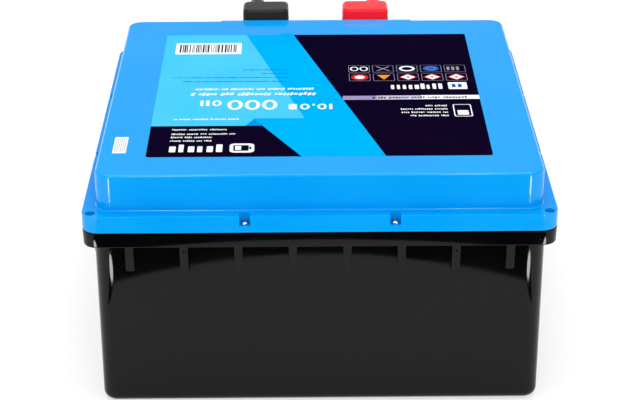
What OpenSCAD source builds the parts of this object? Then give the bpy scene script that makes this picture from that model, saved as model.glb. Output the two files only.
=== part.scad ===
/* [Overall] */
// Width of the lid and rim, left to right
battery_w = 356; // [352:1:372]
// Depth of the lid and rim, front to back, without the terminal shelf
battery_d = 360; // [356:1:376]
// Height of the lid's top above the floor
battery_h = 193; // [190:1:198]

/* [Tub] */
// Height of the tub with its rim
tub_h = 150.4; // [149:0.2:152]
// Height of the thickened rim band
rim_h = 12.5; // [11:0.1:14]
// How far the walls stand in from the rim
wall_inset = 7.6; // [7:0.1:8.6]
// Thickness of the tub's walls and floor
wall = 3.5; // [3:0.1:4]
// Width of the stiffening gussets under the rim
gusset_w = 7; // [5:0.5:9]
// Distance between neighbouring gussets
gusset_pitch = 40.9; // [38:0.1:42]

/* [Lid] */
// Thickness of the flange that sits on the rim
flange_h = 13.6; // [13:0.1:15]
// How far the raised crown stands in from the flange
crown_inset = 10.2; // [9.5:0.1:10.6]
// Thickness of the crown's skin
skin = 3; // [2.5:0.1:3.2]
// Width of the terminal shelf and of the block in front of it
shelf_w = 173; // [160:1:180]
// Height of the shelf's top above the floor
shelf_top = 171; // [170:0.5:172]
// How far back the shelf reaches from the battery's centre
shelf_reach = 206; // [205:0.5:210]

/* [Terminals] */
// Distance of each terminal from the centre line
terminal_x = 45.2; // [40:0.1:50]
// Size of a terminal cover, left to right
cover_w = 42; // [38:0.5:44]
// Size of a terminal cover, front to back
cover_d = 28; // [26:0.5:29]
// Height of the covers' tops above the floor
cover_top = 201.2; // [200:0.2:205]
// Bore of the cable outlets in the covers
outlet_bore = 10; // [8:0.5:10]

/* [Cells] */
// Height of a cell's narrow side as it lies
cell_h = 173.7; // [170:0.1:174]
// Thickness of a cell
cell_t = 71.7; // [70:0.1:72]
// Length of a cell's can
cell_l = 204.8; // [200:0.1:205]

/* [Hidden] */
half_w = battery_w / 2;
half_d = battery_d / 2;
flange_top = tub_h + flange_h;
corner_r = 11;
crown_r = 12;
tub_edge_r = 7;
crown_edge_r = 2;
slice_h = 0.01; // thickness of the slices that a rounded edge is hulled from
lap = 0.05; // cutters reach past the face they open by this much
gap = 0.3; // running room between pieces that come apart

wall_x = half_w - wall_inset;
wall_y = half_d - wall_inset;
crown_x = half_w - crown_inset;
crown_y = half_d - crown_inset;
block_proud = 4;
block_back = crown_y + block_proud;
block_r = 3.5;
shelf_r = 6;

gusset_h = 22.5;
gusset_proud = 5;
gusset_places = [for (i = [-3.5 : 3.5]) i * gusset_pitch];

// lid screws: [x, y, turn of the notch's mouth] on all four sides
notch_r = 4.05;
notch_floor = 155.7;
screw_in = notch_r;
front_screw_x = 56;
back_screw_x = 118;
side_screw_y = 62.5;
lid_screw_places = concat(
    [for (s = [-1, 1]) [s * front_screw_x, -half_d + screw_in, -90]],
    [for (s = [-1, 1]) [s * back_screw_x, half_d - screw_in, 90]],
    [for (s = [-1, 1]) [half_w - screw_in, s * side_screw_y, 0]],
    [for (s = [-1, 1]) [-half_w + screw_in, s * side_screw_y, 180]]
);
screw_head_r = 2.85;
screw_head_h = 2.5;
screw_shank_r = 1.5;
screw_hole_r = 1.55;
screw_reach = 11;

corner_hole_r = 3.75;
corner_hole_in = 6.8;
corner_floor = tub_h + 4;
corner_places = [for (sx = [-1, 1], sy = [-1, 1])
    [sx * (half_w - corner_hole_in), sy * (half_d - corner_hole_in)]];

gasket_w = 2;
gasket_in = 9.4;
gasket_h = 1.6;

// terminals and what is bolted on them
terminal_y = 190;
post_pad = 18;
post_pad_h = 6;
post_stem_r = 7;
post_bottom = 160;
thread_r = 4;
washer_h = 1.6;
spring_h = 2;
bolt_head_h = 5.3;
bolt_flats = 13;
bolt_reach = 14;
shelf_skin = 4;
shelf_floor = tub_h + 3;

cover_wall = 2;
cover_r = 5.5;
cover_edge_r = 2;
outlet_r = 7;
outlet_len = 9.5;
outlet_x = 8;
outlet_z = cover_top - outlet_r - 0.2;

// cells lie on their narrow sides in a row, terminals to the back
base_pad_h = 1.5;
cell_floor = wall + base_pad_h;
spacer_t = 1;
cell_pitch = cell_t + spacer_t;
cell_front = -160;
cell_back = cell_front + cell_l;
cell_r = 4;
cell_x = [for (i = [-1.5 : 1.5]) i * cell_pitch];
pole_off = 56;
pole_low = cell_floor + cell_h / 2 - pole_off;
pole_high = cell_floor + cell_h / 2 + pole_off;
pole_r = 8;
pole_h = 2.4;
stud_r = 3;
stud_len = 12;
busbar_w = 20;
busbar_t = 2.5;
busbar_y = cell_back + pole_h;
nut_h = 5;
end_plate_t = 3;
stack_x = 2 * cell_pitch - spacer_t / 2;
strap_w = 16;
strap_t = 0.6;
strap_z = [66, 118];
pad_top_h = 3;

// battery management unit behind the cells
bms_y = 114;
bms_w = 150;
bms_d = 92;
bms_foot_h = 9;
bms_plate_h = 4;
bms_plate_z = wall + bms_foot_h;
bms_gap = 4;
board_w = 130;
board_d = 76;
board_h = 1.6;
board_z = bms_plate_z + bms_plate_h + bms_gap;
board_top = board_z + board_h;
bms_foot_x = 68;
bms_foot_y = 39;
board_screw_x = 59;
board_screw_y = 32;
board_screw_r = 1.5;

cable_r = 4.5;
lug_t = 2.4;
lug_r = 7.5;
link_t = 2;
link_w = 15;
link_end_y = 152;

// routes of the inner cables, [x, y, z] in millimetres
positive_route = [[109, 50.5, 23.6], [109, 50.5, 19], [109, 53, 14], [109, 59, 11], [109, 66, 11],
    [109, 72, 15], [110, 76, 24], [110, 80, 45], [110, 80, 70], [108, 84, 100], [98, 98, 130],
    [80, 116, 149], [64, 126, 155.5], [53, 132, 156.8], [49.3, 140.4, 156.8]];
negative_route = [[-109, 50.5, 23.6], [-109, 50.5, 19], [-109, 53, 14], [-109, 59, 11],
    [-109, 66, 11], [-109, 72, 15], [-104, 78, 24], [-94, 84, 34], [-82, 91, 38], [-72, 95, 35],
    [-65, 96, 32], [-59.2, 96, 31.3]];
output_route = [[-59.2, 124, 31.3], [-65, 124, 32], [-72, 125, 38], [-77, 126, 50], [-78, 127, 70],
    [-78, 127, 100], [-76, 127, 125], [-70, 128, 144], [-61, 129, 154], [-54, 131, 156.8],
    [-49.3, 140.4, 156.8]];
harness_route = [[8, 82, 30.5], [8, 81, 36], [8, 77, 44], [8, 72, 60], [8, 66, 90], [12, 64, 120],
    [20, 62, 155], [26, 60, 164], [30, 54, 166], [30, 45, 166]];

label_w = 263;
label_d = 270;
label_y = -1.3;
label_t = 0.3;
sticker_w = 10.4;
sticker_d = 31.2;
sticker_at = [-157.4, -128.2];

// a rectangle of size w by d with true round corners
module round_rect(w, d, r) {
    square([w - 2 * r, d], center = true);
    square([w, d - 2 * r], center = true);
    for (sx = [-1, 1], sy = [-1, 1])
        translate([sx * (w / 2 - r), sy * (d / 2 - r)]) circle(r, $fn = 64);
}

// half of an upright section: straight sides, and the top edge rounded by edge_r
module section_half(reach, h, edge_r) {
    square([reach - edge_r, h]);
    square([reach, h - edge_r]);
    translate([reach - edge_r, h - edge_r]) circle(edge_r, $fn = 48);
}

module section(reach, h, edge_r) {
    section_half(reach, h, edge_r);
    mirror([1, 0]) section_half(reach, h, edge_r);
}

// a block on z = 0 with round upright corners and a rounded top edge
module moulded_block(w, d, h, r, edge_r) {
    rotate([90, 0, 0])
        translate([0, 0, -(d / 2 - r)]) linear_extrude(d - 2 * r) section(w / 2, h, edge_r);
    rotate([90, 0, 90])
        translate([0, 0, -(w / 2 - r)]) linear_extrude(w - 2 * r) section(d / 2, h, edge_r);
    for (sx = [-1, 1], sy = [-1, 1])
        translate([sx * (w / 2 - r), sy * (d / 2 - r), 0])
            rotate_extrude($fn = 64) section_half(r, h, edge_r);
}

// a disc with a hole, standing on z = 0
module ring(r, hole, h) {
    difference() {
        cylinder(h = h, r = r, $fn = 48);
        translate([0, 0, -lap]) cylinder(h = h + 2 * lap, r = hole, $fn = 48);
    }
}

function unit(v) = v / norm(v);
function heading(pts, i) = i == 0 ? unit(pts[1] - pts[0])
    : i == len(pts) - 1 ? unit(pts[i] - pts[i - 1])
    : unit(unit(pts[i] - pts[i - 1]) + unit(pts[i + 1] - pts[i]));
// a direction square to the heading, carried from one ring to the next so that the tube doesn't twist
function carried(pts, i) = let (t = heading(pts, i),
        before = i == 0 ? (abs(t.z) < 0.9 ? [0, 0, 1] : [1, 0, 0]) : carried(pts, i - 1))
    unit(before - t * (before * t));

// a closed round tube that follows a route
module swept(pts, r, sides) {
    rings = [for (i = [0 : len(pts) - 1]) let (a = carried(pts, i), b = cross(heading(pts, i), a))
        for (k = [0 : sides - 1]) pts[i] + r * (cos(360 * k / sides) * a + sin(360 * k / sides) * b)];
    last = (len(pts) - 1) * sides;
    faces = concat(
        [[for (k = [0 : sides - 1]) k]],
        [[for (k = [sides - 1 : -1 : 0]) last + k]],
        [for (i = [0 : len(pts) - 2], k = [0 : sides - 1]) let (n = (k + 1) % sides, s = i * sides)
            each [[s + k, s + sides + k, s + sides + n], [s + k, s + sides + n, s + n]]]);
    polyhedron(points = rings, faces = faces, convexity = 6);
}

// the tub's outer form, its bottom edge rounded by slices that follow a quarter circle
module tub_outside() {
    hull() for (a = [0 : 15 : 90]) {
        cut_in = tub_edge_r * (1 - cos(a));
        translate([0, 0, tub_edge_r * (1 - sin(a))])
            linear_extrude(a == 0 ? tub_h - 1 - tub_edge_r : slice_h)
                round_rect(2 * (wall_x - cut_in), 2 * (wall_y - cut_in), corner_r - cut_in);
    }
}

// the tub: walls, floor, thick rim and the gussets that carry the rim
module case() {
    color([0.06, 0.06, 0.065]) difference() {
        union() {
            tub_outside();
            translate([0, 0, tub_h - rim_h])
                linear_extrude(rim_h) round_rect(battery_w, battery_d, corner_r);
            for (x = gusset_places, s = [-1, 1])
                translate([x - gusset_w / 2, s > 0 ? wall_y - 1 : -wall_y - gusset_proud,
                    tub_h - rim_h - gusset_h])
                    cube([gusset_w, gusset_proud + 1, gusset_h + 1]);
            for (y = gusset_places, s = [-1, 1])
                translate([s > 0 ? wall_x - 1 : -wall_x - gusset_proud, y - gusset_w / 2,
                    tub_h - rim_h - gusset_h])
                    cube([gusset_proud + 1, gusset_w, gusset_h + 1]);
        }
        translate([0, 0, wall]) linear_extrude(tub_h)
            round_rect(2 * (wall_x - wall), 2 * (wall_y - wall), corner_r - wall);
        translate([0, 0, tub_h - gasket_h]) gasket_ring(tub_h);
        for (p = lid_screw_places)
            translate([p.x, p.y, notch_floor - screw_reach - 1])
                cylinder(h = screw_reach, r = screw_hole_r, $fn = 32);
        for (p = corner_places)
            translate([p.x, p.y, corner_floor - screw_reach - 1])
                cylinder(h = screw_reach, r = screw_hole_r, $fn = 32);
    }
}

// the seal's path round the mouth of the tub
module gasket_ring(h) {
    linear_extrude(h) difference() {
        round_rect(battery_w - 2 * gasket_in + gasket_w, battery_d - 2 * gasket_in + gasket_w, corner_r - 2);
        round_rect(battery_w - 2 * gasket_in - gasket_w, battery_d - 2 * gasket_in - gasket_w, corner_r - 4);
    }
}

module lid_gasket() {
    color([0.1, 0.1, 0.1]) translate([0, 0, tub_h - gasket_h]) gasket_ring(gasket_h);
}

// the lid: flange, raised crown, and the shelf that carries the terminals at the back
module lid() {
    color([0.0, 0.6, 0.98]) difference() {
        union() {
            translate([0, 0, tub_h])
                moulded_block(battery_w, battery_d, flange_h, corner_r, 1);
            translate([0, 0, tub_h])
                moulded_block(2 * crown_x, 2 * crown_y, battery_h - tub_h, crown_r, crown_edge_r);
            translate([0, block_back / 2, tub_h])
                linear_extrude(battery_h - tub_h) round_rect(shelf_w, block_back, block_r);
            translate([0, shelf_reach / 2, tub_h])
                linear_extrude(shelf_top - tub_h) round_rect(shelf_w, shelf_reach, shelf_r);
        }
        // the hollow over the cells
        translate([0, 0, tub_h - lap]) linear_extrude(battery_h - skin - tub_h + lap)
            round_rect(2 * (crown_x - skin), 2 * (crown_y - skin), crown_r - skin);
        // the channel under the shelf for the inner links
        translate([-shelf_w / 2 + skin, crown_y - 2 * skin, shelf_floor])
            cube([shelf_w - 2 * skin, shelf_reach - skin - crown_y + 2 * skin, shelf_top - shelf_skin - shelf_floor]);
        for (s = [-1, 1])
            translate([s * terminal_x, terminal_y, shelf_floor])
                cylinder(h = shelf_top, r = post_stem_r + lap, $fn = 64);
        for (p = lid_screw_places) translate([p.x, p.y, 0]) {
            translate([0, 0, notch_floor]) cylinder(h = flange_h, r = notch_r, $fn = 48);
            rotate([0, 0, p.z]) translate([0, -notch_r, notch_floor])
                cube([2 * notch_r, 2 * notch_r, flange_h]);
            translate([0, 0, tub_h - 1]) cylinder(h = flange_h, r = screw_hole_r, $fn = 32);
        }
        for (p = corner_places) translate([p.x, p.y, 0]) {
            translate([0, 0, corner_floor]) cylinder(h = flange_h, r = corner_hole_r, $fn = 48);
            translate([0, 0, tub_h - 1]) cylinder(h = flange_h, r = screw_hole_r, $fn = 32);
        }
    }
}

// a cross-recessed pan-head screw, seated with the underside of its head on z = 0
module pan_screw(head_r, head_h, shank_r, reach) {
    difference() {
        rotate_extrude($fn = 48) {
            square([head_r, head_h / 2]);
            intersection() {
                translate([0, head_h / 2]) square([head_r, head_h / 2]);
                translate([0, head_h - head_r * 1.6]) circle(head_r * 1.6, $fn = 96);
            }
        }
        for (turn = [0, 90]) rotate([0, 0, turn])
            translate([-head_r * 0.55, -head_r * 0.12, head_h * 0.55])
                cube([head_r * 1.1, head_r * 0.24, head_h]);
    }
    translate([0, 0, -reach]) cylinder(h = reach + head_h * 0.3, r = shank_r, $fn = 32);
}

module lid_screws() {
    color([0.75, 0.76, 0.78]) for (p = lid_screw_places)
        translate([p.x, p.y, notch_floor])
            pan_screw(screw_head_r, screw_head_h, screw_shank_r, screw_reach);
}

module corner_screws() {
    color([0.35, 0.36, 0.38]) for (p = corner_places)
        translate([p.x, p.y, corner_floor])
            pan_screw(screw_head_r, screw_head_h, screw_shank_r, screw_reach);
}

module top_label() {
    color([0.3, 0.78, 1]) translate([-label_w / 2, label_y - label_d / 2, battery_h])
        cube([label_w, label_d, label_t]);
}

module serial_sticker() {
    color([0.95, 0.95, 0.95]) translate([sticker_at.x, sticker_at.y, battery_h])
        cube([sticker_w, sticker_d, label_t]);
}

// a boot that drops over a terminal, with a round cable outlet at the back on its outer side
module terminal_cover(side) {
    bottom = shelf_top + gap;
    difference() {
        union() {
            translate([side * terminal_x, terminal_y, bottom])
                moulded_block(cover_w, cover_d, cover_top - bottom, cover_r, cover_edge_r);
            translate([side * (terminal_x + outlet_x), terminal_y, outlet_z]) rotate([-90, 0, 0])
                cylinder(h = cover_d / 2 + outlet_len, r = outlet_r, $fn = 64);
        }
        translate([side * terminal_x, terminal_y, bottom - lap])
            linear_extrude(cover_top - cover_wall - bottom + lap)
                round_rect(cover_w - 2 * cover_wall, cover_d - 2 * cover_wall, cover_r - cover_wall);
        translate([side * (terminal_x + outlet_x), terminal_y, outlet_z]) rotate([-90, 0, 0])
            cylinder(h = cover_d + outlet_len, r = outlet_bore / 2, $fn = 64);
    }
}

module positive_cover() {
    color([0.93, 0.1, 0.18]) terminal_cover(1);
}

module negative_cover() {
    color([0.2, 0.2, 0.2]) terminal_cover(-1);
}

// a threaded post: square pad on the shelf, round stem down through it
module post(side) {
    translate([side * terminal_x, terminal_y, 0]) difference() {
        union() {
            translate([-post_pad / 2, -post_pad / 2, shelf_top])
                cube([post_pad, post_pad, post_pad_h]);
            translate([0, 0, post_bottom])
                cylinder(h = shelf_top - post_bottom + 1, r = post_stem_r, $fn = 64);
        }
        translate([0, 0, post_bottom - lap])
            cylinder(h = post_pad_h + shelf_top - post_bottom + 2 * lap, r = thread_r + lap, $fn = 48);
    }
}

module positive_terminal() {
    color([0.8, 0.62, 0.3]) post(1);
}

module negative_terminal() {
    color([0.8, 0.62, 0.3]) post(-1);
}

module on_posts(z) {
    for (s = [-1, 1]) translate([s * terminal_x, terminal_y, z]) children();
}

module terminal_washers() {
    color([0.78, 0.78, 0.8]) on_posts(shelf_top + post_pad_h) ring(8, thread_r + 0.2, washer_h);
}

module terminal_spring_washers() {
    color([0.72, 0.72, 0.74]) on_posts(shelf_top + post_pad_h + washer_h) difference() {
        ring(6.6, thread_r + 0.2, spring_h);
        translate([0, -0.4, -lap]) cube([8, 0.8, spring_h + 2 * lap]);
    }
}

module terminal_bolts() {
    color([0.75, 0.76, 0.78]) on_posts(shelf_top + post_pad_h + washer_h + spring_h) {
        cylinder(h = bolt_head_h, r = bolt_flats / 2 / cos(30), $fn = 6);
        translate([0, 0, -bolt_reach]) cylinder(h = bolt_reach + 1, r = thread_r, $fn = 48);
    }
}

// a copper strip from a post's underside to where the inner cable is screwed on
module link(side) {
    translate([side * terminal_x, 0, post_bottom - link_t]) difference() {
        translate([-link_w / 2, link_end_y - link_w / 2, 0])
            cube([link_w, terminal_y - link_end_y + link_w, link_t]);
        translate([0, link_end_y, -lap]) cylinder(h = link_t + 2 * lap, r = stud_r + 0.1, $fn = 32);
    }
}

module positive_link() {
    color([0.75, 0.45, 0.25]) link(1);
}

module negative_link() {
    color([0.75, 0.45, 0.25]) link(-1);
}

module link_screws() {
    color([0.75, 0.76, 0.78]) for (s = [-1, 1])
        translate([s * terminal_x, link_end_y, post_bottom]) {
            cylinder(h = 4, r = 5.2, $fn = 6);
            translate([0, 0, -link_t - lug_t - 3]) cylinder(h = link_t + lug_t + 4, r = stud_r, $fn = 32);
        }
}

module base_pad() {
    color([0.2, 0.2, 0.2]) translate([-stack_x - end_plate_t, cell_front, wall])
        cube([2 * (stack_x + end_plate_t), cell_l, base_pad_h]);
}

module top_pad() {
    color([0.2, 0.2, 0.2]) translate([-stack_x, cell_front, cell_floor + cell_h])
        cube([2 * stack_x, cell_l, pad_top_h]);
}

// one cell: an upright can with two round poles and a vent on its back face
module cell(i) {
    color([0.15, 0.35, 0.6]) {
        translate([cell_x[i], cell_back, cell_floor + cell_h / 2]) rotate([90, 0, 0])
            linear_extrude(cell_l) round_rect(cell_t, cell_h, cell_r);
        for (z = [pole_low, pole_high])
            translate([cell_x[i], cell_back - 1, z]) rotate([-90, 0, 0]) {
                cylinder(h = pole_h + 1, r = pole_r, $fn = 48);
                cylinder(h = pole_h + stud_len + 1, r = stud_r, $fn = 32);
            }
    }
}

module cell_spacers() {
    color([0.85, 0.8, 0.6]) for (i = [0 : 2])
        translate([cell_x[i] + cell_t / 2, cell_front + 2, cell_floor + 2])
            cube([spacer_t, cell_l - 4, cell_h - 4]);
}

module end_plates() {
    color([0.75, 0.76, 0.78]) for (s = [-1, 1])
        translate([s > 0 ? stack_x : -stack_x - end_plate_t, cell_front, cell_floor])
            cube([end_plate_t, cell_l, cell_h]);
}

// two steel bands round the stack
module cell_straps() {
    reach = stack_x + end_plate_t;
    color([0.7, 0.7, 0.72]) for (z = strap_z) translate([0, 0, z - strap_w / 2]) difference() {
        translate([-reach - strap_t, cell_front - strap_t, 0])
            cube([2 * (reach + strap_t), cell_l + 2 * strap_t, strap_w]);
        translate([-reach, cell_front, -lap])
            cube([2 * reach, cell_l, strap_w + 2 * lap]);
    }
}

// a bar that joins the poles of cells i and i + 1
module busbar(i) {
    z = i == 1 ? pole_low : pole_high;
    color([0.82, 0.83, 0.85]) translate([cell_x[i] + cell_pitch / 2, busbar_y, z]) difference() {
        translate([-cell_pitch / 2 - busbar_w / 2, 0, -busbar_w / 2])
            cube([cell_pitch + busbar_w, busbar_t, busbar_w]);
        for (s = [-1, 1]) translate([s * cell_pitch / 2, -lap, 0]) rotate([-90, 0, 0])
            cylinder(h = busbar_t + 2 * lap, r = stud_r + 0.1, $fn = 32);
    }
}

// the six poles under busbars, and the two at the ends of the chain under cable lugs
module on_poles(on_bar, on_lug) {
    for (i = [0 : 3], high = [0, 1]) {
        lone = (i == 0 || i == 3) && high == 0;
        translate([cell_x[i], busbar_y + (lone ? on_lug : on_bar), high == 1 ? pole_high : pole_low])
            rotate([-90, 0, 0]) children();
    }
}

module busbar_nuts() {
    color([0.75, 0.76, 0.78]) on_poles(busbar_t, lug_t) difference() {
        cylinder(h = nut_h, r = 5.8, $fn = 6);
        translate([0, 0, -lap]) cylinder(h = nut_h + 2 * lap, r = stud_r + 0.1, $fn = 32);
    }
}

// a crimped ring lug with its eye on the origin and its barrel along +Y
module ring_lug(barrel) {
    ring(lug_r, stud_r + 0.1, lug_t);
    translate([-3, lug_r - 1, 0]) cube([6, barrel - lug_r + 1, lug_t]);
}

module cable_lugs() {
    color([0.8, 0.8, 0.82]) {
        for (s = [-1, 1]) {
            translate([s * cell_x[3], busbar_y, pole_low]) rotate([-90, 0, 0]) ring_lug(12);
            translate([s * terminal_x, link_end_y, post_bottom - link_t - lug_t])
                rotate([0, 0, 180 + s * 20]) ring_lug(12);
        }
        for (y = [96, 124]) translate([-47, y, board_top + 8]) rotate([0, 0, 90]) ring_lug(12);
    }
}

module positive_cable() {
    color([0.75, 0.1, 0.1]) swept(positive_route, cable_r, 10);
}

module negative_cable() {
    color([0.08, 0.08, 0.08]) swept(negative_route, cable_r, 10);
}

module output_cable() {
    color([0.08, 0.08, 0.08]) swept(output_route, cable_r, 10);
}

module balance_harness() {
    color([0.85, 0.85, 0.85]) swept(harness_route, 1.8, 8);
}

module at_corners(x, y) {
    for (sx = [-1, 1], sy = [-1, 1]) translate([sx * x, bms_y + sy * y, 0]) children();
}

module bms_feet() {
    color([0.15, 0.15, 0.15]) at_corners(bms_foot_x, bms_foot_y)
        translate([0, 0, wall]) cylinder(h = bms_foot_h, r = 5, $fn = 48);
}

// an aluminium plate with fins along its underside
module bms_heatsink() {
    color([0.8, 0.81, 0.83]) {
        translate([-bms_w / 2, bms_y - bms_d / 2, bms_plate_z]) cube([bms_w, bms_d, bms_plate_h]);
        for (x = [-54 : 9 : 54])
            translate([x - 1, bms_y - bms_d / 2, bms_plate_z - 6]) cube([2, bms_d, 6.5]);
    }
}

module bms_spacers() {
    color([0.7, 0.6, 0.35]) at_corners(board_screw_x, board_screw_y)
        translate([0, 0, bms_plate_z + bms_plate_h]) ring(3, board_screw_r + 0.1, bms_gap);
}

module bms_board() {
    color([0.05, 0.3, 0.15]) difference() {
        translate([-board_w / 2, bms_y - board_d / 2, board_z]) cube([board_w, board_d, board_h]);
        at_corners(board_screw_x, board_screw_y) translate([0, 0, board_z - lap])
            cylinder(h = board_h + 2 * lap, r = board_screw_r + 0.1, $fn = 32);
    }
}

// power transistors in two rows
module bms_transistors() {
    color([0.08, 0.08, 0.08]) for (x = [-24 : 12 : 48], y = [bms_y - 2, bms_y + 12])
        translate([x - 5, y - 4.5, board_top]) cube([10, 9, 2.4]);
}

// threaded posts for the two heavy cables
module bms_cable_posts() {
    color([0.8, 0.62, 0.3]) for (y = [96, 124]) translate([-47, y, board_top]) {
        cylinder(h = 8, r = 6, $fn = 48);
        cylinder(h = 14, r = stud_r, $fn = 32);
        translate([0, 0, 8 + lug_t]) ring(5.2, stud_r + 0.1, 3);
    }
}

module bms_screws() {
    color([0.75, 0.76, 0.78]) at_corners(board_screw_x, board_screw_y)
        translate([0, 0, board_top]) pan_screw(2.8, 2.2, board_screw_r, board_h + bms_gap - 0.2);
}

module radio_module() {
    color([0.1, 0.25, 0.5]) translate([40, bms_y + 20, board_top]) cube([14, 17, 2.6]);
}

module balance_connector() {
    color([0.92, 0.9, 0.84]) translate([0, bms_y - 36, board_top]) cube([16, 8, 8]);
}

module temperature_sensor() {
    color([0.1, 0.1, 0.1]) translate([40, cell_back, cell_floor + cell_h / 2]) rotate([-90, 0, 0])
        cylinder(h = 4, r = 3.5, $fn = 48);
}

case();
lid();
lid_gasket();
lid_screws();
corner_screws();
top_label();
serial_sticker();
positive_cover();
negative_cover();
positive_terminal();
negative_terminal();
terminal_washers();
terminal_spring_washers();
terminal_bolts();
positive_link();
negative_link();
link_screws();
base_pad();
top_pad();
cell(0);  // cell_1
cell(1);  // cell_2
cell(2);  // cell_3
cell(3);  // cell_4
cell_spacers();
end_plates();
cell_straps();
busbar(0);  // busbar_1
busbar(1);  // busbar_2
busbar(2);  // busbar_3
busbar_nuts();
cable_lugs();
positive_cable();
negative_cable();
output_cable();
bms_feet();
bms_heatsink();
bms_spacers();
bms_board();
bms_transistors();
bms_cable_posts();
bms_screws();
radio_module();
balance_connector();
balance_harness();
temperature_sensor();
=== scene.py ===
import math
import random

import bmesh
import bpy
from mathutils import Matrix, Vector


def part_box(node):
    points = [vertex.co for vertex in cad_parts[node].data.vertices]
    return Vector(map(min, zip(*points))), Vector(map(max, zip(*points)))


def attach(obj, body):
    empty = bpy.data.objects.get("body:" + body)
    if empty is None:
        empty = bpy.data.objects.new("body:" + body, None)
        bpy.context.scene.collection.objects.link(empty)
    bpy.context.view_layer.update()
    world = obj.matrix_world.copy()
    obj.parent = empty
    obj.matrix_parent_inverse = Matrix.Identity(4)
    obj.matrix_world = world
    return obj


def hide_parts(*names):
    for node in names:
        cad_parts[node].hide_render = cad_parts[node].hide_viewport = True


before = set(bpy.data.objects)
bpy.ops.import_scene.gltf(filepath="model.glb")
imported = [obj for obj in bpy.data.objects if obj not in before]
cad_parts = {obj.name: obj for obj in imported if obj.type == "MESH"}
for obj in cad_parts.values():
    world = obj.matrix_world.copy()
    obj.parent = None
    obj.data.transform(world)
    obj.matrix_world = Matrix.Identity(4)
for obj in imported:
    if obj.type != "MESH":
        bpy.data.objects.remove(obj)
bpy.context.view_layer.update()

mm = 0.001               # pieces are shaped in millimetres and brought to metres when they are finished
sharpFrom = 32           # degrees between two faces from which their edge is drawn sharp
scene = bpy.context.scene
scene.view_settings.view_transform = "Standard"   # a bright studio catalogue look with full blues


def boxOf(node):         # a CAD node's two corners, in millimetres
    low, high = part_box(node)
    return low / mm, high / mm


caseLow, caseHigh = boxOf("case")
lidHigh = boxOf("lid")[1]
labelLow, labelHigh = boxOf("top_label")
width = caseHigh.x - caseLow.x
depth = caseHigh.y - caseLow.y
rimTop = caseHigh.z
lidTop = lidHigh.z

# camera, at the angle that the battery is looked at from

shot = {
    "place": (-13.2, -1444.7, 761.7),   # mm
    "down": 24.817,                     # degrees below level
    "turn": 0.593,                      # degrees to the right
    "lean": -0.127,
    "lens": 106.19,
}


def aimCamera():
    camera = bpy.data.objects.new("camera", bpy.data.cameras.new("camera"))
    scene.collection.objects.link(camera)
    camera.data.lens = shot["lens"]
    camera.data.clip_end = 50
    down, turn, lean = (math.radians(shot[k]) for k in ("down", "turn", "lean"))
    ahead = Vector((math.sin(turn) * math.cos(down), math.cos(turn) * math.cos(down), -math.sin(down)))
    right = Vector((math.cos(turn), -math.sin(turn), 0))
    up = right.cross(ahead)
    right, up = right * math.cos(lean) + up * math.sin(lean), up * math.cos(lean) - right * math.sin(lean)
    axes = Matrix((right, up, -ahead)).transposed().to_4x4()
    camera.matrix_world = Matrix.Translation(Vector(shot["place"]) * mm) @ axes
    scene.camera = camera


aimCamera()
print("camera ready")

# materials


def fromHex(code):       # sRGB hex to linear
    parts = [int(code[i:i + 2], 16) / 255 for i in (1, 3, 5)]
    return [c / 12.92 if c <= 0.04045 else ((c + 0.055) / 1.055) ** 2.4 for c in parts] + [1.0]


def addNode(tree, kind, inputs=None, **settings):
    node = tree.nodes.new(kind)
    for key, value in settings.items():
        setattr(node, key, value)
    for key, value in (inputs or {}).items():
        if isinstance(value, bpy.types.NodeSocket):
            tree.links.new(value, node.inputs[key])
        else:
            node.inputs[key].default_value = value
    return node


def startMaterial(name):
    material = bpy.data.materials.new(name)
    material.use_nodes = True
    tree = material.node_tree
    tree.nodes.clear()
    out = addNode(tree, "ShaderNodeOutputMaterial")
    shader = addNode(tree, "ShaderNodeBsdfPrincipled")
    tree.links.new(shader.outputs[0], out.inputs[0])
    place = addNode(tree, "ShaderNodeTexCoord").outputs["Object"]
    return material, tree, shader, place


def between(tree, value, low, high, start=0.3, stop=0.7):   # a pattern's middle range mapped to low..high
    return addNode(tree, "ShaderNodeMapRange", {
        "Value": value, "From Min": start, "From Max": stop, "To Min": low, "To Max": high}).outputs[0]


def noise(tree, place, sizeMm, detail=2.0, rough=0.5):
    return addNode(tree, "ShaderNodeTexNoise", {
        "Vector": place, "Scale": 1 / (sizeMm * mm), "Detail": detail, "Roughness": rough}).outputs[0]


def tinted(tree, factor, first, second):
    return addNode(tree, "ShaderNodeMix", {0: factor, 6: first, 7: second}, data_type="RGBA").outputs[2]


def bumped(tree, height, distanceMm, under=None):
    inputs = {"Height": height, "Distance": distanceMm * mm}
    if under is not None:
        inputs["Normal"] = under
    return addNode(tree, "ShaderNodeBump", inputs).outputs[0]


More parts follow.
